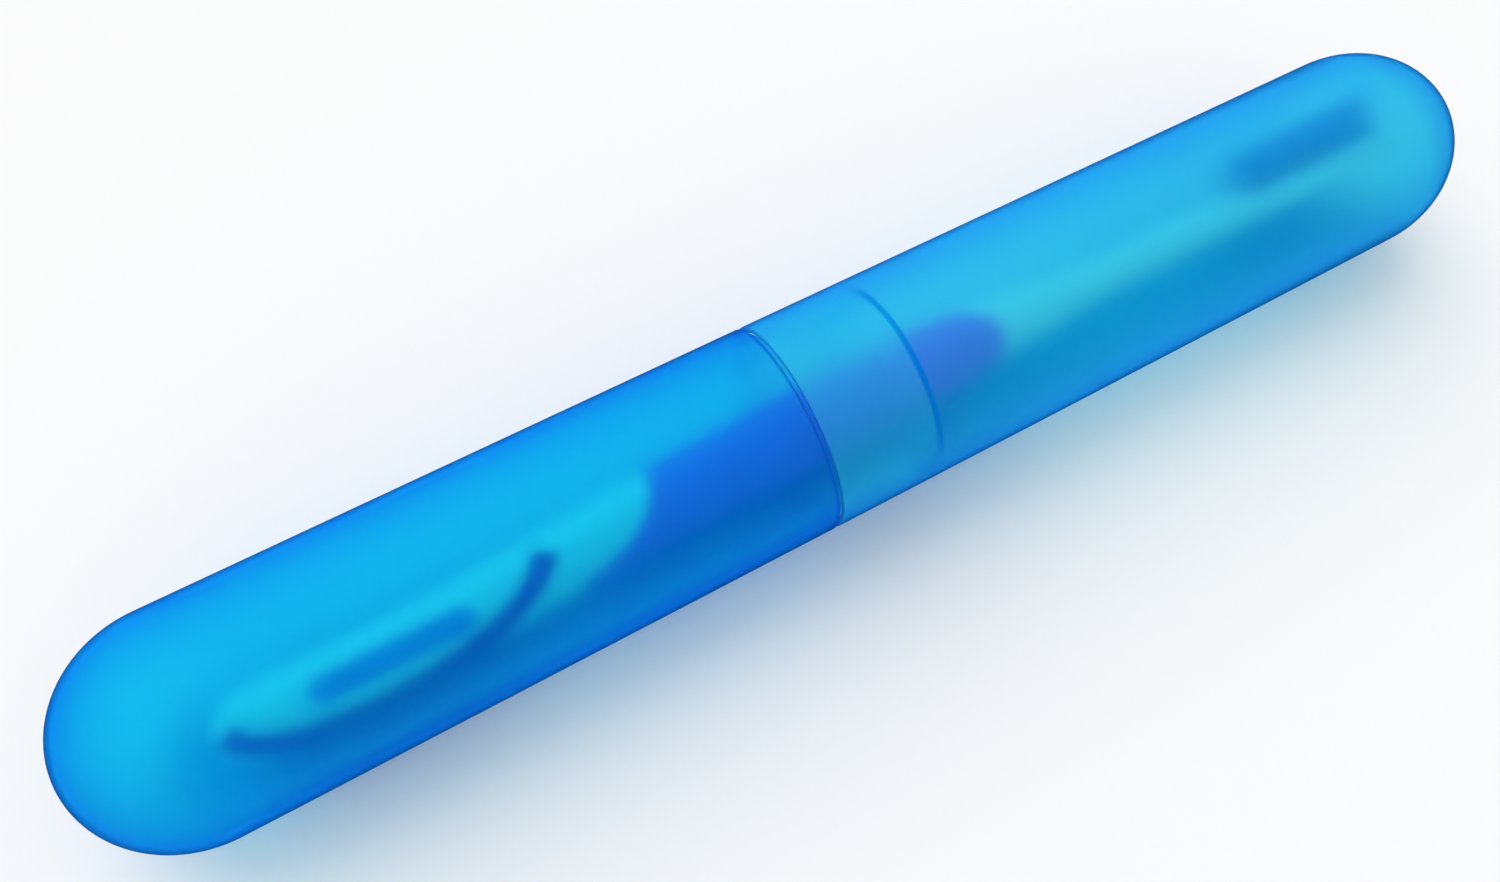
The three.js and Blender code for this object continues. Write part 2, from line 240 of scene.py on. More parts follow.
# Grain of the noises
FROST_CLOUD = 5 * MM
FROST_GRAIN = 0.5 * MM
WHITE_CLOUD = 9 * MM
WHITE_SCUFF = 0.9 * MM
RUBBER_CLOUD = 4 * MM
RUBBER_GRAIN = 0.22 * MM
STRAND_STREAK = 0.6 * MM
NOISE_SPAN = (0.3, 0.7)  # within which most of a noise lies

# Roughness from the smoothest spots to the roughest, for the plastic as a change to its own
FROST_SWING = (-0.04, 0.06)
POLISH_SWING = (-0.03, 0.03)
WHITE_SATIN = (0.26, 0.4)
RUBBER_MATT = (0.52, 0.72)
STRAND_SATIN = (0.3, 0.42)

# Share of its colour that a finish keeps in its darkest spots
WHITE_FADE = 0.95
RUBBER_FADE = 0.8
STRAND_FADE = 0.94


def new_material(name):
    """A material with one Principled shader, with its nodes and links at hand."""
    material = bpy.data.materials.new(name)
    material.use_nodes = True
    nodes = material.node_tree.nodes
    return material, nodes, material.node_tree.links, nodes["Principled BSDF"]


def add_noise(nodes, links, size, detail=2):
    """Noise with grains of about this size, fixed to the piece."""
    place = nodes.new("ShaderNodeTexCoord")
    noise = nodes.new("ShaderNodeTexNoise")
    noise.inputs["Scale"].default_value = 1 / size
    noise.inputs["Detail"].default_value = detail
    links.new(place.outputs["Object"], noise.inputs["Vector"])
    return noise.outputs["Fac"]


def vary(nodes, links, source, socket, low, high, span=NOISE_SPAN):
    """Drives a socket between two values by a source, which itself varies over a span."""
    spread = nodes.new("ShaderNodeMapRange")
    spread.inputs["From Min"].default_value, spread.inputs["From Max"].default_value = span
    spread.inputs["To Min"].default_value = low
    spread.inputs["To Max"].default_value = high
    links.new(source, spread.inputs["Value"])
    links.new(spread.outputs["Result"], socket)


def vary_colour(nodes, links, source, socket, first, second):
    """Drives a colour from one to another by a source from 0 to 1."""
    mix = nodes.new("ShaderNodeMix")
    mix.data_type = "RGBA"
    mix.inputs["A"].default_value = (*first, 1)
    mix.inputs["B"].default_value = (*second, 1)
    links.new(source, mix.inputs["Factor"])
    links.new(mix.outputs["Result"], socket)


def add_bump(nodes, links, source, shader, height, strength):
    """Raises a surface by a noise."""
    bump = nodes.new("ShaderNodeBump")
    bump.inputs["Distance"].default_value = height
    bump.inputs["Strength"].default_value = strength
    links.new(source, bump.inputs["Height"])
    links.new(bump.outputs["Normal"], shader.inputs["Normal"])


def darker(tint, factor):
    """A colour times a factor."""
    return tuple(value * factor for value in tint)


def mix_shaders(nodes, links, first, second, part):
    """Mixes two shaders, with this part of the second."""
    mix = nodes.new("ShaderNodeMixShader")
    mix.inputs["Fac"].default_value = part
    links.new(first.outputs[0], mix.inputs[1])
    links.new(second.outputs[0], mix.inputs[2])
    return mix


def see_through(shader, tint):
    """Makes a shader pass light, tinted once at each face."""
    shader.inputs["Base Color"].default_value = (*tint, 1)
    shader.inputs["Transmission Weight"].default_value = 1
    shader.inputs["IOR"].default_value = PLASTIC_IOR
    shader.inputs["Specular Tint"].default_value = (*PLASTIC_SHEEN, 1)


def frosted_plastic(name, tube, tint, milk, glow, glow_share, haze, edge=None):
    """Outside of a wall: see-through plastic with a matt skin and a milky haze.

    A wall seen at a slant is looked through lengthwise. With an edge colour, its haze then grows and
    takes that colour, and ends in a dark line of painted shade along the outline.
    """
    material, nodes, links, clear = new_material(name)
    see_through(clear, tint)
    cloud = add_noise(nodes, links, FROST_CLOUD, detail=3)
    smoother, rougher = FROST_SWING
    vary(nodes, links, cloud, clear.inputs["Roughness"], tube.frost + smoother, tube.frost + rougher)
    grain = add_noise(nodes, links, FROST_GRAIN, detail=3)
    add_bump(nodes, links, grain, clear, height=0.03 * MM, strength=0.4)
    back = nodes.new("ShaderNodeBsdfDiffuse")
    back.inputs["Color"].default_value = (*milk, 1)
    through = nodes.new("ShaderNodeBsdfTranslucent")
    through.inputs["Color"].default_value = (*glow, 1)
    cloudy = mix_shaders(nodes, links, back, through, glow_share)
    skin = mix_shaders(nodes, links, clear, cloudy, haze)
    if edge is not None:
        slant = nodes.new("ShaderNodeLayerWeight").outputs["Facing"]
        vary_colour(nodes, links, slant, back.inputs["Color"], milk, edge)
        vary(nodes, links, slant, skin.inputs["Fac"], haze, tube.edge_haze, SLANT_SPAN)
        # Painted shade: a dark diffuse line mixed in where the wall is seen edge on
        line = nodes.new("ShaderNodeBsdfDiffuse")
        line.inputs["Color"].default_value = (*tube.edge_painted_shade, 1)
        skin = mix_shaders(nodes, links, skin, line, 0)
        vary(nodes, links, slant, skin.inputs["Fac"], 0, PAINTED_SHADE_SHARE, PAINTED_SHADE_SPAN)
    links.new(skin.outputs["Shader"], nodes["Material Output"].inputs["Surface"])
    return material


def smooth_bore(polish):
    """Inside of a wall: the same plastic with a smoother skin and no haze, which adds no tint."""
    material, nodes, links, clear = new_material("smooth_bore")
    see_through(clear, (1, 1, 1))
    cloud = add_noise(nodes, links, FROST_CLOUD, detail=3)
    smoother, rougher = POLISH_SWING
    vary(nodes, links, cloud, clear.inputs["Roughness"], polish + smoother, polish + rougher)
    return material


def moulded_white(brush):
    """White satin plastic of the handle and head."""
    material, nodes, links, shader = new_material("moulded_white")
    cloud = add_noise(nodes, links, WHITE_CLOUD, detail=3)
    white = brush.handle_colour
    vary_colour(nodes, links, cloud, shader.inputs["Base Color"], white, darker(white, WHITE_FADE))
    scuffs = add_noise(nodes, links, WHITE_SCUFF, detail=4)
    vary(nodes, links, scuffs, shader.inputs["Roughness"], *WHITE_SATIN)
    add_bump(nodes, links, scuffs, shader, height=0.01 * MM, strength=0.15)
    return material


def soft_rubber(name, tint):
    """Matt rubber with a fine grain."""
    material, nodes, links, shader = new_material(name)
    cloud = add_noise(nodes, links, RUBBER_CLOUD, detail=3)
    vary_colour(nodes, links, cloud, shader.inputs["Base Color"], tint, darker(tint, RUBBER_FADE))
    grain = add_noise(nodes, links, RUBBER_GRAIN)
    vary(nodes, links, grain, shader.inputs["Roughness"], *RUBBER_MATT)
    add_bump(nodes, links, grain, shader, height=0.04 * MM, strength=0.6)
    return material


def nylon(brush):
    """Satin strands of the bristles."""
    material, nodes, links, shader = new_material("nylon")
    streaks = add_noise(nodes, links, STRAND_STREAK)
    tint = brush.bristle_colour
    vary_colour(nodes, links, streaks, shader.inputs["Base Color"], tint, darker(tint, STRAND_FADE))
    vary(nodes, links, streaks, shader.inputs["Roughness"], *STRAND_SATIN)
    through = nodes.new("ShaderNodeBsdfTranslucent")
    through.inputs["Color"].default_value = (*tint, 1)
    strand = mix_shaders(nodes, links, shader, through, STRAND_GLOW_SHARE)
    links.new(strand.outputs["Shader"], nodes["Material Output"].inputs["Surface"])
    return material


# Meshes


def mesh_of(name, bm):
    """Turns a finished bmesh into a mesh, with its doubles merged and its faces outwards."""
    bmesh.ops.remove_doubles(bm, verts=bm.verts, dist=SAME_PLACE)
    bmesh.ops.recalc_face_normals(bm, faces=bm.faces)
    mesh = bpy.data.meshes.new(name)
    bm.to_mesh(mesh)
    bm.free()
    return mesh


def shade(mesh):
    """Shades a mesh smooth, apart from its sharp edges."""
    bm = bmesh.new()
    bm.from_mesh(mesh)
    for face in bm.faces:
        face.smooth = True
    for edge in bm.edges:
        edge.smooth = edge.calc_face_angle(0) < SMOOTH_ANGLE
    bm.to_mesh(mesh)
    bm.free()


def add_object(name, data):
    """Puts a mesh, lamp or camera into the scene."""
    piece = bpy.data.objects.new(name, data)
    bpy.context.scene.collection.objects.link(piece)
    return piece


def finish_piece(piece, body, slot, node, *materials):
    """Gives a piece its finish and its body, and hides the CAD node that it stands for."""
    shade(piece.data)
    for material in materials:
        piece.data.materials.append(material)
    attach(piece, body)
    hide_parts(node)


def combine(piece, operation, *tools):
    """Adds, cuts away or keeps the solids of the tools in a piece, and leaves the tools as they are."""
    for tool in tools:
        step = piece.modifiers.new(operation, "BOOLEAN")
        step.operation = operation
        step.solver = "MANIFOLD"
        step.object = tool
        shaped = bpy.data.meshes.new_from_object(
            piece.evaluated_get(bpy.context.evaluated_depsgraph_get())
        )
        shaped.materials.clear()
        piece.modifiers.clear()
        plain, piece.data = piece.data, shaped
        bpy.data.meshes.remove(plain)
    if not piece.data.polygons:
        raise RuntimeError(f"{piece.name} has nothing left")


def discard(*tools):
    """Removes solids that were only used to shape others."""
    for tool in tools:
        mesh = tool.data
        bpy.data.objects.remove(tool)
        bpy.data.meshes.remove(mesh)


# Tube


def draw_line(bm, start, x, radius):
    """Draws a straight stretch of a profile, and returns its end."""
    end = bmesh.ops.extrude_vert_indiv(bm, verts=[start])["verts"][0]
    end.co = (x, 0, radius)
    return end


def draw_arc(bm, start, middle, angle):
    """Draws a stretch of a profile that is round about a point on the axis, and returns its end."""
    made = bmesh.ops.spin(
        bm, geom=[start], cent=(middle, 0, 0), axis=(0, 1, 0), angle=angle, steps=DOME_STEPS
    )
    return next(item for item in made["geom_last"] if isinstance(item, bmesh.types.BMVert))


def turn(bm, tube):
    """Turns a drawn profile about the tube's axis, rounds its sharp edges and lays it on the floor."""
    bmesh.ops.spin(
        bm,
        geom=bm.verts[:] + bm.edges[:],
        cent=(0, 0, 0),
        axis=(1, 0, 0),
        angle=2 * pi,
        steps=TUBE_STEPS,
        use_merge=True,
    )
    bmesh.ops.remove_doubles(bm, verts=bm.verts, dist=SAME_POLE)
    bmesh.ops.recalc_face_normals(bm, faces=bm.faces)
    sharp = [edge for edge in bm.edges if edge.calc_face_angle(0) > ROUNDED_ANGLE]
    bmesh.ops.bevel(
        bm,
        geom=sharp,
        offset=tube.edge_round,
        offset_type="OFFSET",
        affect="EDGES",
        segments=EDGE_STEPS,
        profile=0.5,
        material=-1,
    )
    bmesh.ops.translate(bm, verts=bm.verts, vec=(0, 0, tube.radius))


def tube_radii(tube):
    """The cap's bore, the neck and the body's bore."""
    cap_bore = tube.radius - tube.cap_wall
    neck = cap_bore - tube.fit
    return cap_bore, neck, neck - tube.neck_wall


def mark_skins(bm, tube, middle, outward, bore, neck_start=inf, neck_end=inf):
    """Marks the faces of the bore as the second skin and those of the neck as the third, a paler skin of
    painted light.
    """
    for face in bm.faces:
        x, y, z = face.calc_center_median()
        past_end = max(0, (x - middle) * outward)
        if Vector((past_end, y, z - tube.radius)).length < bore + BORE_SLACK:
            face.material_index = 1
        elif neck_start < x < neck_end:
            face.material_index = 2


def body_mesh(tube):
    """The body half: a round-ended cup with a stepped-down neck."""
    _, neck, bore = tube_radii(tube)
    middle = tube.body_end + tube.radius
    shoulder = tube.mouth - tube.neck_length
    under_rim = tube.rim + tube.fit
    bm = bmesh.new()
    point = bm.verts.new((tube.body_end, 0, 0))
    point = draw_arc(bm, point, middle, pi / 2)
    point = draw_line(bm, point, shoulder, tube.radius)
    point = draw_line(bm, point, shoulder, neck)
    point = draw_line(bm, point, under_rim, neck)
    # This point bounds the band of painted shade at the mouth
    point = draw_line(bm, point, tube.mouth - tube.mouth_painted_shade, neck)
    point = draw_line(bm, point, tube.mouth, neck)
    point = draw_line(bm, point, tube.mouth, bore)
    point = draw_line(bm, point, middle, bore)
    draw_arc(bm, point, middle, -pi / 2)
    turn(bm, tube)
    # The neck's paler skin of painted light lies only under the cap, short of the painted shade band at
    # its mouth
    mark_skins(bm, tube, middle, -1, bore, under_rim, tube.mouth - tube.mouth_painted_shade)
    return mesh_of("tube_body", bm)


def cap_mesh(tube):
    """The cap half: a thin round-ended cup."""
    bore, _, _ = tube_radii(tube)
    middle = tube.cap_end - tube.radius
    bm = bmesh.new()
    point = bm.verts.new((tube.cap_end, 0, 0))
    point = draw_arc(bm, point, middle, -pi / 2)
    point = draw_line(bm, point, tube.rim, tube.radius)
    point = draw_line(bm, point, tube.rim, bore)
    point = draw_line(bm, point, middle, bore)
    draw_arc(bm, point, middle, pi / 2)
    turn(bm, tube)
    mark_skins(bm, tube, middle, 1, bore)
    return mesh_of("tube_cap", bm)


class HOLDER_OT_tube_halves(bpy.types.Operator):
    """Builds the frosted body and cap"""

    bl_idname = "holder.tube_halves"
    bl_label = "Tube Halves"

    def execute(self, context):
        tube = context.scene.holder_tube
        body = add_object("tube_body", body_mesh(tube))
        bore = smooth_bore(tube.polish)
        outside = frosted_plastic(
            "frosted_body",
            tube,
            tint=tube.body_glass,
            milk=tube.body_milk,
            glow=tube.body_glow,
            glow_share=GLOW_SHARE,
            haze=tube.body_haze,
            edge=tube.body_edge,
        )
        # Painted light: the neck gets a paler copy of the body's plastic, so that the overlap under the
        # cap looks lighter
        neck = frosted_plastic(
            "frosted_neck_painted_light",
            tube,
            tint=tube.neck_glass_painted_light,
            milk=tube.neck_milk_painted_light,
            glow=tube.neck_milk_painted_light,
            glow_share=NECK_GLOW_SHARE,
            haze=tube.neck_haze,
        )
        finish_piece(body, "body", "body_plastic", "body_shell", outside, bore, neck)
        cap = add_object("tube_cap", cap_mesh(tube))
        cap_outside = frosted_plastic(
            "frosted_cap",
            tube,
            tint=tube.cap_glass,
            milk=tube.cap_milk,
            glow=tube.cap_glow,
            glow_share=GLOW_SHARE,
            haze=tube.cap_haze,
            edge=tube.cap_edge,
        )
        finish_piece(cap, "cap", "cap_plastic", "cap_shell", cap_outside, bore)
        return {"FINISHED"}


# Brush handle

# Sections: thickness in y, width in z, and the height of the middle above the brush's axis
TAIL = (9.9 * MM, 11.8 * MM, -3.7 * MM)
WAIST = (10 * MM, 11.4 * MM, -1.7 * MM)
GRIP = (10.9 * MM, 12.4 * MM, -0.75 * MM)
COLLAR = (8.8 * MM, 9.6 * MM, -0.5 * MM)
SHANK = (5.8 * MM, 6 * MM, -0.6 * MM)
SECTION_POWER = 2.4  # 2 is an ellipse, more is squarer

# Lengths along the handle
TAIL_ROUND = 6 * MM  # the rounded tail end
TAIL_SHARE = 0.08  # of the handle's rings, those in that end
TAIL_TIP = 0.01  # of that end, where its first ring lies, so that it isn't a point
TAIL_BELLY = 27 * MM  # tail end to where the tail starts to narrow
GRIP_PEAK = 33 * MM  # grip's start to its thickest place
SHANK_TAPER = 20 * MM  # grip's end to the even shank
SHANK_FLARE = 4 * MM  # even shank to the head
SHANK_ROOT = 5.5 * MM  # the shank's reach into the head

HEAD_EDGE = 0.7 * MM  # rounding of the head's edges
HEAD_TIP_ROUND = 6.5 * MM  # length of the outline's round ends
HEAD_ROOT_ROUND = 9 * MM
HEAD_RIM = 0.8 * MM  # round the field that holds the bristles
FIELD_THICKNESS = 1.2 * MM
FIELD_GAP = 0.03 * MM  # round the field's slices
INLAY_GAP = 0.04 * MM  # round an inlay in its pocket


def brush_length(brush):
    """Tail end to the head's tip."""
    return brush.tail_length + brush.grip_length + brush.shank_length + brush.head_length


def brush_place(brush, tube):
    """From the brush's own frame to where it lies in the tube."""
    side = Vector((0, sin(brush.roll), -cos(brush.roll))) * brush.drop
    middle = Vector(((brush_low.x + brush_high.x) / 2, 0, tube.radius)) + side
    return (
        Matrix.Translation(middle)
        @ Matrix.Rotation(brush.roll, 4, "X")
        @ Matrix.Rotation(-brush.lean, 4, "Y")
        @ Matrix.Translation((-brush_length(brush) / 2, 0, 0))
    )


def handle_stations(brush):
    """Places along the handle, each with its thickness, width and height."""
    grip_start = brush.tail_length
    grip_end = grip_start + brush.grip_length
    head_start = grip_end + brush.shank_length
    root = (brush.head_thickness - HEAD_EDGE, SHANK[1], brush.head_height)
    return [
        Vector((TAIL_ROUND, *TAIL)),
        Vector((TAIL_BELLY, *TAIL)),
        Vector((grip_start, *WAIST)),
        Vector((grip_start + GRIP_PEAK, *GRIP)),
        Vector((grip_end, *COLLAR)),
        Vector((grip_end + SHANK_TAPER, *SHANK)),
        Vector((head_start - SHANK_FLARE, *SHANK)),
        Vector((head_start + SHANK_ROOT, *root)),
    ]


def smooth_between(stations, along):
    """A smooth curve through the stations, from 0 at the first to 1 at the last."""
    reach = along * (len(stations) - 1)
    span = min(int(reach), len(stations) - 2)
    t = reach - span
    near, far = stations[span], stations[span + 1]
    before = stations[span - 1] if span > 0 else 2 * near - far
    after = stations[span + 2] if span + 2 < len(stations) else 2 * far - near
    start_pull = (far - before) / 2
    end_pull = (after - near) / 2
    return (
        near * (2 * t**3 - 3 * t**2 + 1)
        + start_pull * (t**3 - 2 * t**2 + t)
        + far * (3 * t**2 - 2 * t**3)
        + end_pull * (t**3 - t**2)
    )


def squarish(value):
    """A sine or cosine that turns a circle into a handle's section."""
    return copysign(abs(value) ** (2 / SECTION_POWER), value)


def handle_solid(brush, grow):
    """The handle's smooth form, larger all round by grow, made of a tube whose rings take its sections."""
    stations = handle_stations(brush)
    bm = bmesh.new()
    # The tube is 1 long about its middle, so z + 0.5 runs from 0 at the tail to 1 at the head
    bmesh.ops.create_cone(bm, cap_ends=True, segments=SECTION_POINTS, radius1=1, radius2=1, depth=1)
    lengthwise = [edge for edge in bm.edges if abs(edge.verts[0].co.z - edge.verts[1].co.z) > 0.5]
    bmesh.ops.subdivide_edges(bm, edges=lengthwise, cuts=HANDLE_RINGS)
    for vert in bm.verts:
        along = vert.co.z + 0.5
        angle = atan2(vert.co.y, vert.co.x)
        scale = 1
        if along < TAIL_SHARE:
            turned = max(along / TAIL_SHARE, TAIL_TIP) * pi / 2
            _, thickness, width, height = stations[0]
            x = TAIL_ROUND - (TAIL_ROUND + grow) * cos(turned)
            scale = sin(turned)
        else:
            x, thickness, width, height = smooth_between(stations, (along - TAIL_SHARE) / (1 - TAIL_SHARE))
        vert.co = (
            x,
            height + squarish(cos(angle)) * (thickness / 2 + grow) * scale,
            squarish(sin(angle)) * (width / 2 + grow) * scale,
        )
    return add_object("handle_form", mesh_of("handle_form", bm))


def add_head_outline(bm, brush, inset, height):
    """The head's rounded outline as one face, smaller all round by inset."""
    head_start = brush_length(brush) - brush.head_length
    turned = Matrix.Rotation(pi / OUTLINE_POINTS, 4, "Z")
    made = bmesh.ops.create_circle(bm, cap_ends=True, segments=OUTLINE_POINTS, radius=1, matrix=turned)
    for vert in made["verts"]:
        if vert.co.x < 0:
            x = head_start + HEAD_ROOT_ROUND + vert.co.x * (HEAD_ROOT_ROUND - inset)
        else:
            x = brush_length(brush) - HEAD_TIP_ROUND + vert.co.x * (HEAD_TIP_ROUND - inset)
        vert.co = (x, height, vert.co.y * (brush.head_width / 2 - inset))


def raise_faces(bm, vec):
    """Makes the bmesh's flat faces into solids, pulled out by vec."""
    made = bmesh.ops.extrude_face_region(bm, geom=bm.faces[:], use_keep_orig=True)
    lifted = [item for item in made["geom"] if isinstance(item, bmesh.types.BMVert)]
    bmesh.ops.translate(bm, verts=lifted, vec=vec)


def head_plate(brush, inset, bottom, top, edge_round):
    """A plate of the head's outline, with rounded edges if asked for."""
    bm = bmesh.new()
    add_head_outline(bm, brush, inset, bottom)
    raise_faces(bm, (0, top - bottom, 0))
    bmesh.ops.recalc_face_normals(bm, faces=bm.faces)
    if edge_round:
        rims = [edge for edge in bm.edges if abs(edge.verts[0].co.y - edge.verts[1].co.y) < LEVEL_SLACK]
        bmesh.ops.bevel(
            bm,
            geom=rims,
            offset=edge_round,
            offset_type="OFFSET",
            affect="EDGES",
            segments=EDGE_STEPS,
            profile=0.5,
            material=-1,
        )
    return add_object("head_plate", mesh_of("head_plate", bm))


def head_top(brush):
    """Height of the face that the bristles stand on."""
    return brush.head_height + brush.head_thickness / 2


class HOLDER_OT_brush_handle(bpy.types.Operator):
    """Builds the white handle and head, with pockets for the rubber and the bristles"""

    bl_idname = "holder.brush_handle"
    bl_label = "Brush Handle"

    def execute(self, context):
        brush = context.scene.holder_brush
        tube = context.scene.holder_tube
        top = head_top(brush)
        handle = handle_solid(brush, 0)
        plate = head_plate(brush, 0, top - brush.head_thickness, top, HEAD_EDGE)
        field = head_plate(brush, HEAD_RIM, top - FIELD_THICKNESS - FIELD_GAP, top + HEAD_EDGE, 0)
        combine(handle, "UNION", plate)
        combine(handle, "DIFFERENCE", field)
        core = handle_solid(brush, -brush.rubber_depth - INLAY_GAP)
        for outline, low, high in inlay_forms(brush, INLAY_GAP):
            pocket = inlay_prism(outline, low, high)
            combine(pocket, "DIFFERENCE", core)
            combine(handle, "DIFFERENCE", pocket)
            discard(pocket)
        discard(plate, field, core)
        handle.name = handle.data.name = "handle_and_head"
        handle.data.transform(brush_place(brush, tube))
        finish_piece(handle, "brush", "handle_plastic", "brush_handle", moulded_white(brush))
        return {"FINISHED"}


# Rubber inlays

# Grip: its tail edge bends towards the head around the handle's white tongue
GRIP_POINT = 12.5 * MM  # reach of the lower point towards the tail
GRIP_LIP = 2.5 * MM  # reach of the upper lip towards the tail
TONGUE_PULL = Vector((6, -2.2)) * MM  # from the grip's start to where the bend is pulled
GRIP_END_ROUND = 9 * MM  # length of the round end
GRIP_END_REACH = 6.2 * MM  # half the height of the round end
GRIP_END_HEIGHT = -1.2 * MM

STRIP_WIDTH = 2 * MM  # at its middle
STRIP_FLARE = 1.2 * MM  # added at its ends
STRIP_SPINE = (
    Vector((2.9, -3.2)) * MM,
    Vector((4, -11)) * MM,
    Vector((40, -10.5)) * MM,
    Vector((44.5, -0.4)) * MM,
)

PAD_START = 13 * MM
PAD_LENGTH = 21 * MM
PAD_WIDTH = 3.2 * MM
PAD_HEIGHT = -3.5 * MM
RIB_PITCH = 1.1 * MM
RIB_GROOVE = 0.45 * MM
RIB_DEPTH = 0.22 * MM


def bend_between(start, pull, end):
    """Points on a curve from start to end that is pulled towards a third point."""
    near = start + (pull - start) * 2 / 3
    far = end + (pull - end) * 2 / 3
    return interpolate_bezier(start, near, far, end, OUTLINE_POINTS)


def grip_outline(brush, grow):
    """The grip from the side, larger by grow: pointed towards the tail and round towards the head."""
    above = GRIP[0]
    below = WAIST[2] - WAIST[0] / 2
    start = brush.tail_length - grow
    point = start - GRIP_POINT
    tongue = Vector((start, 0)) + TONGUE_PULL
    tail_edge = bend_between(Vector((point, below)), tongue, Vector((start - GRIP_LIP, above)))
    middle = brush.tail_length + brush.grip_length - GRIP_END_ROUND
    head_edge = []
    for index in range(OUTLINE_POINTS + 1):
        angle = pi / 2 - pi * index / OUTLINE_POINTS
        x = middle + (GRIP_END_ROUND + grow) * cos(angle)
        head_edge.append(Vector((x, GRIP_END_HEIGHT + (GRIP_END_REACH + grow) * sin(angle))))
    return [
        Vector((point, -above)),
        *tail_edge,
        Vector((middle, above)),
        *head_edge,
        Vector((middle, -above)),
    ]


def strip_outline(grow):
    """The tail strip from the side: a smile that hangs under the handle's belly."""
    spine = interpolate_bezier(*STRIP_SPINE, OUTLINE_POINTS)
    above, below = [], []
    for index, point in enumerate(spine):
        ahead = spine[min(index + 1, len(spine) - 1)]
        behind = spine[max(index - 1, 0)]
        along = (ahead - behind).normalized()
        overrun = -grow if index == 0 else grow if index == len(spine) - 1 else 0
        middle = point + along * overrun
        flare = STRIP_FLARE * (2 * index / (len(spine) - 1) - 1) ** 2
        side = Vector((-along.y, along.x)) * ((STRIP_WIDTH + flare) / 2 + grow)
        above.append(middle + side)
        below.insert(0, middle - side)
    return above + below


def pad_outline(grow):
    """A tail pad from the side: a bar with round ends."""
    radius = PAD_WIDTH / 2 + grow
    points = []
    for index in range(OUTLINE_POINTS):
        angle = (index + 0.5) / OUTLINE_POINTS * 2 * pi
        middle = PAD_START + PAD_WIDTH / 2 if cos(angle) < 0 else PAD_START + PAD_LENGTH - PAD_WIDTH / 2
        points.append(Vector((middle + radius * cos(angle), PAD_HEIGHT + radius * sin(angle))))
    return points


def inlay_forms(brush, grow):
    """The rubber inlays' outlines, each with the span that it takes across the brush."""
    across = GRIP[1]
    return (
        (grip_outline(brush, grow), -across, across),
        (strip_outline(grow), -across, across),
        (pad_outline(grow), 0, across),
        (pad_outline(grow), -across, 0),
    )


def inlay_prism(points, low, high):
    """A straight solid across the brush with this outline."""
    bm = bmesh.new()
    bm.faces.new([bm.verts.new((point.x, point.y, low)) for point in points])
    raise_faces(bm, (0, 0, high - low))
    return add_object("inlay_prism", mesh_of("inlay_prism", bm))


def rib_grooves(low, high):
    """A row of thin bars across a pad, from which its grooves are cut."""
    bm = bmesh.new()
    count = floor((PAD_LENGTH - PAD_WIDTH) / RIB_PITCH) + 1
    first = PAD_START + PAD_LENGTH / 2 - (count - 1) / 2 * RIB_PITCH
    for index in range(count):
        place = Matrix.Translation((first + index * RIB_PITCH, PAD_HEIGHT, (low + high) / 2))
        size = Matrix.Diagonal((RIB_GROOVE, 2 * PAD_WIDTH, high - low, 1))
        bmesh.ops.create_cube(bm, size=1, matrix=place @ size)
    return add_object("rib_grooves", mesh_of("rib_grooves", bm))


class HOLDER_OT_rubber_inlays(bpy.types.Operator):
    """Builds the grip, the tail strip and the two ribbed tail pads"""

    bl_idname = "holder.rubber_inlays"
    bl_label = "Rubber Inlays"

    def execute(self, context):
        brush = context.scene.holder_brush
        tube = context.scene.holder_tube
        outer = handle_solid(brush, brush.rubber_proud)
        inner = handle_solid(brush, -brush.rubber_depth)
        groove_floor = handle_solid(brush, brush.rubber_proud - RIB_DEPTH)
        grip_rubber = soft_rubber("violet_rubber", brush.grip_colour)
        strip_rubber = soft_rubber("indigo_rubber", brush.strip_colour)
        pad_rubber = soft_rubber("blue_rubber", brush.pad_colour)
        finishes = (
            ("thumb_grip_rubber", "grip_rubber", "thumb_grip", grip_rubber),
            ("tail_strip_rubber", "strip_rubber", "tail_strip", strip_rubber),
            ("tail_pad_rubber_left", "pad_rubber", "tail_pad_left", pad_rubber),
            ("tail_pad_rubber_right", "pad_rubber", "tail_pad_right", pad_rubber),
        )
        for (outline, low, high), (name, slot, node, rubber) in zip(inlay_forms(brush, 0), finishes):
            inlay = inlay_prism(outline, low, high)
            combine(inlay, "INTERSECT", outer)
            combine(inlay, "DIFFERENCE", inner)
            if slot == "pad_rubber":
                grooves = rib_grooves(low, high)
                combine(grooves, "DIFFERENCE", groove_floor)
                combine(inlay, "DIFFERENCE", grooves)
                discard(grooves)
            inlay.name = inlay.data.name = name
            inlay.data.transform(brush_place(brush, tube))
            finish_piece(inlay, "brush", slot, node, rubber)
        discard(outer, inner, groove_floor)
        return {"FINISHED"}


# Bristles

BRISTLE_ROWS = 4
TUFT_PITCH = 2.6 * MM
TUFT_RADIUS = 0.82 * MM
BRISTLE_ROOT = 0.3 * MM  # depth of a strand's foot in the field
STRAND_TAPER = 0.75  # of a strand's thickness, what its end keeps
TUFT_SPLAY = 0.05  # lean of a tuft's outermost strands
CROWN = 0.25 * MM  # of a tuft's end, from its rim to its middle
GOLDEN_ANGLE = pi * (3 - sqrt(5))  # spreads the strands evenly over a tuft


def row_pitch(brush):
    """Width of one row's slice of the field."""
    return (brush.head_width - 2 * HEAD_RIM) / BRISTLE_ROWS


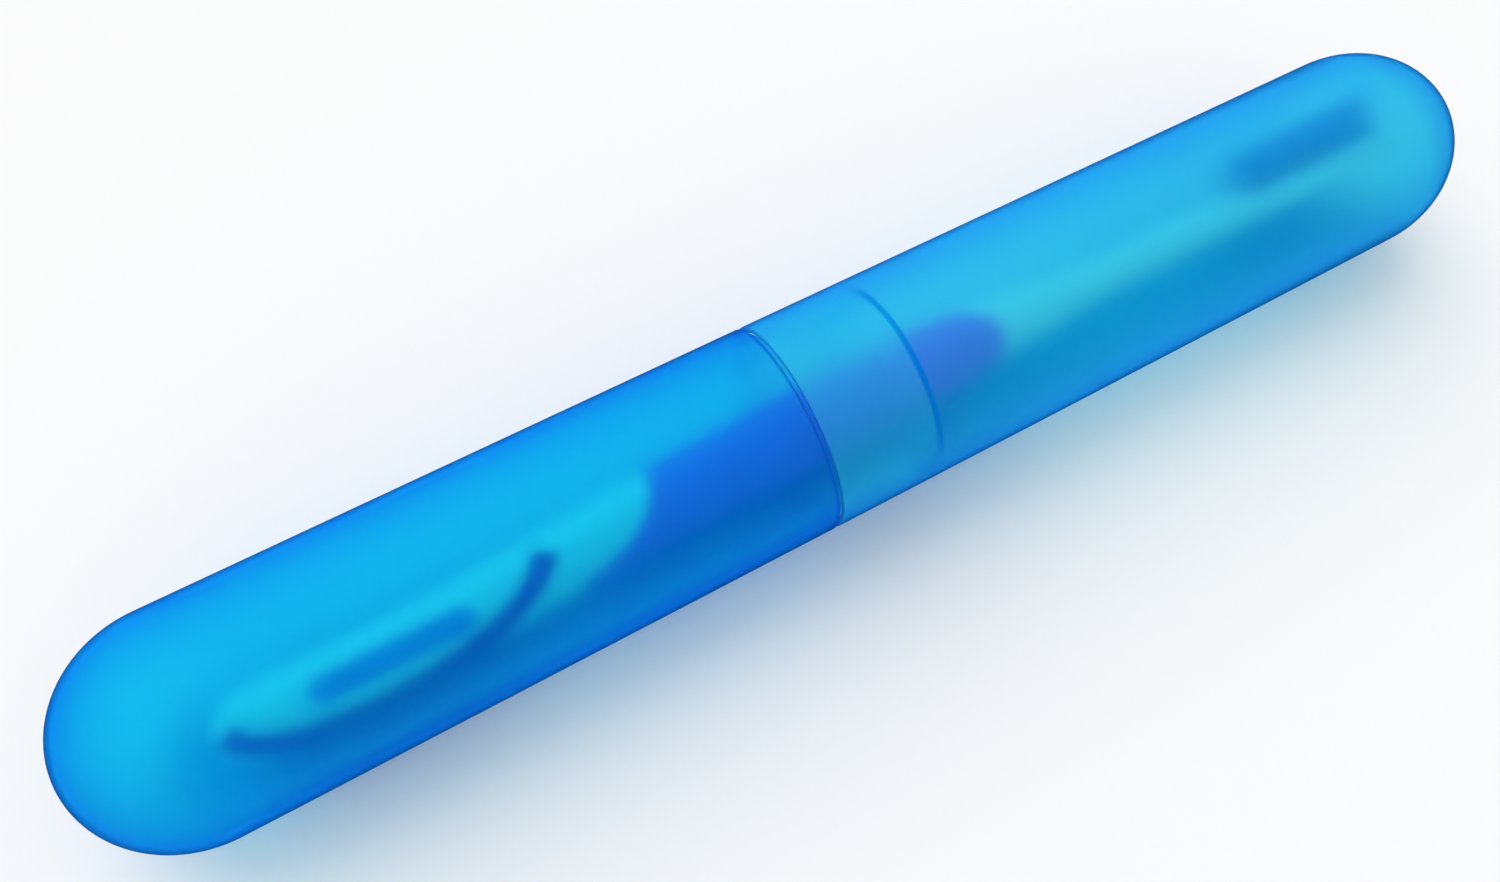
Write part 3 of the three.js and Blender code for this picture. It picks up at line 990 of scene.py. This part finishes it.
def head_half_width(brush, x, inset):
    """Half the width of the head's outline at a place along it."""
    end = brush_length(brush)
    into_root = max(0, end - brush.head_length + HEAD_ROOT_ROUND - x) / (HEAD_ROOT_ROUND - inset)
    into_tip = max(0, x - end + HEAD_TIP_ROUND) / (HEAD_TIP_ROUND - inset)
    return (brush.head_width / 2 - inset) * sqrt(max(0, 1 - into_root**2 - into_tip**2))


def add_tuft(bm, brush, x, across):
    """One round tuft of tapered strands that spread a little towards their ends."""
    root = Vector((x, head_top(brush) - BRISTLE_ROOT, across))
    for index in range(brush.strands):
        off = sqrt((index + 0.5) / brush.strands)
        angle = index * GOLDEN_ANGLE
        aside = Vector((cos(angle), 0, sin(angle))) * off
        length = brush.bristle_length + BRISTLE_ROOT - CROWN * off**2
        along = (Vector((0, 1, 0)) + aside * TUFT_SPLAY).normalized()
        foot = root + aside * (TUFT_RADIUS - brush.strand_radius) * (1 - TUFT_SPLAY)
        upright = along.to_track_quat("Z", "Y").to_matrix().to_4x4()
        bmesh.ops.create_cone(
            bm,
            cap_ends=True,
            segments=STRAND_SIDES,
            radius1=brush.strand_radius,
            radius2=brush.strand_radius * STRAND_TAPER,
            depth=length,
            matrix=Matrix.Translation(foot + along * length / 2) @ upright,
        )


def tuft_places(brush, across):
    """Places along the head where a row's tufts stand clear of its rim."""
    inset = HEAD_RIM
    start = brush_length(brush) - brush.head_length
    count = floor((brush.head_length - 2 * inset) / TUFT_PITCH)
    for index in range(count):
        x = start + brush.head_length / 2 + (index - (count - 1) / 2) * TUFT_PITCH
        ends = (x - TUFT_RADIUS, x + TUFT_RADIUS)
        if all(head_half_width(brush, end, inset) > abs(across) + TUFT_RADIUS / 2 for end in ends):
            yield x


class HOLDER_OT_bristle_rows(bpy.types.Operator):
    """Builds the rows of tufted bristles in the head"""

    bl_idname = "holder.bristle_rows"
    bl_label = "Bristle Rows"

    def execute(self, context):
        brush = context.scene.holder_brush
        tube = context.scene.holder_tube
        top = head_top(brush)
        field = head_plate(brush, HEAD_RIM + FIELD_GAP, top - FIELD_THICKNESS, top, 0)
        white = bpy.data.materials["moulded_white"]
        strand_nylon = nylon(brush)
        pitch = row_pitch(brush)
        for row in range(BRISTLE_ROWS):
            across = (row - (BRISTLE_ROWS - 1) / 2) * pitch
            bm = bmesh.new()
            bm.from_mesh(field.data)
            for side in (-1, 1):
                cut = bmesh.ops.bisect_plane(
                    bm,
                    geom=bm.verts[:] + bm.edges[:] + bm.faces[:],
                    plane_co=(0, 0, across + side * (pitch - FIELD_GAP) / 2),
                    plane_no=(0, 0, side),
                    clear_outer=True,
                )
                rim = [item for item in cut["geom_cut"] if isinstance(item, bmesh.types.BMEdge)]
                bmesh.ops.contextual_create(bm, geom=rim)
            plate_faces = len(bm.faces)
            for x in tuft_places(brush, across):
                add_tuft(bm, brush, x, across)
            bm.faces.ensure_lookup_table()
            for face in bm.faces[plate_faces:]:
                face.material_index = 1
            bmesh.ops.transform(bm, matrix=brush_place(brush, tube), verts=bm.verts)
            name = f"bristle_tufts_{row + 1}"
            tufts = add_object(name, mesh_of(name, bm))
            finish_piece(tufts, "brush", "bristle_nylon", f"bristle_row_{row + 1}", white, strand_nylon)
        discard(field)
        return {"FINISHED"}


# Stage

FLOOR_REACH = 3  # metres from the middle to each side
CLIP_START = 5 * MM
LIGHT_BOUNCES = 32  # light goes to and fro in the tube many times before it dies out


def pale_floor(stage):
    """A plain pale floor, matt, that shows the object's shadow."""
    material, _, _, shader = new_material("pale_floor")
    shader.inputs["Base Color"].default_value = (*stage.floor_colour, 1)
    shader.inputs["Roughness"].default_value = 1
    shader.inputs["Specular IOR Level"].default_value = 0
    return material


def even_light(stage):
    """White light from all round."""
    world = bpy.data.worlds.new("even_light")
    world.use_nodes = True
    sky = world.node_tree.nodes["Background"]
    sky.inputs["Color"].default_value = (1, 1, 1, 1)
    sky.inputs["Strength"].default_value = stage.sky
    return world


class HOLDER_OT_stage(bpy.types.Operator):
    """Builds the floor, the light and the camera"""

    bl_idname = "holder.stage"
    bl_label = "Stage"

    def execute(self, context):
        scene = context.scene
        stage = scene.holder_stage
        bm = bmesh.new()
        bmesh.ops.create_grid(bm, x_segments=1, y_segments=1, size=FLOOR_REACH)
        floor_piece = add_object("floor", mesh_of("floor", bm))
        floor_piece.data.materials.append(pale_floor(stage))

        scene.world = even_light(stage)

        lamp = bpy.data.lights.new("key", "SUN")
        lamp.energy = stage.key
        lamp.angle = stage.key_softness
        key = add_object("key", lamp)
        key.rotation_euler = Vector(stage.key_aim).to_track_quat("-Z", "Y").to_euler()

        camera = add_object("camera", bpy.data.cameras.new("camera"))
        camera.data.lens = stage.lens
        camera.data.sensor_fit = "HORIZONTAL"
        camera.data.clip_start = CLIP_START
        camera.location = stage.camera_place
        camera.rotation_euler = Vector(stage.camera_aim).to_track_quat("-Z", "Y").to_euler()
        scene.camera = camera
        scene.view_settings.view_transform = "Standard"
        scene.cycles.max_bounces = LIGHT_BOUNCES
        scene.cycles.diffuse_bounces = LIGHT_BOUNCES
        scene.cycles.transmission_bounces = LIGHT_BOUNCES
        return {"FINISHED"}


class VIEW3D_PT_holder(bpy.types.Panel):
    """Sizes, colours and steps of the toothbrush holder"""

    bl_label = "Toothbrush Holder"
    bl_space_type = "VIEW_3D"
    bl_region_type = "UI"
    bl_category = "Holder"

    def draw(self, context):
        layout = self.layout
        for operator in OPERATORS:
            layout.operator(operator.bl_idname)
        scene = context.scene
        for settings in (scene.holder_tube, scene.holder_brush, scene.holder_stage):
            box = layout.box()
            for name in settings.__annotations__:
                box.prop(settings, name)


OPERATORS = (
    HOLDER_OT_tube_halves,
    HOLDER_OT_brush_handle,
    HOLDER_OT_rubber_inlays,
    HOLDER_OT_bristle_rows,
    HOLDER_OT_stage,
)
CLASSES = (TubeSettings, BrushSettings, StageSettings, *OPERATORS, VIEW3D_PT_holder)


def register():
    """Adds the classes and the scene's settings."""
    for cls in CLASSES:
        bpy.utils.register_class(cls)
    bpy.types.Scene.holder_tube = PointerProperty(type=TubeSettings)
    bpy.types.Scene.holder_brush = PointerProperty(type=BrushSettings)
    bpy.types.Scene.holder_stage = PointerProperty(type=StageSettings)


def unregister():
    """Takes the settings and classes away again."""
    del bpy.types.Scene.holder_stage
    del bpy.types.Scene.holder_brush
    del bpy.types.Scene.holder_tube
    for cls in reversed(CLASSES):
        bpy.utils.unregister_class(cls)


def main():
    """Builds the holder."""
    register()
    bpy.ops.holder.stage()
    bpy.ops.holder.tube_halves()
    bpy.ops.holder.brush_handle()
    bpy.ops.holder.rubber_inlays()
    bpy.ops.holder.bristle_rows()


if __name__ == "__main__":
    main()
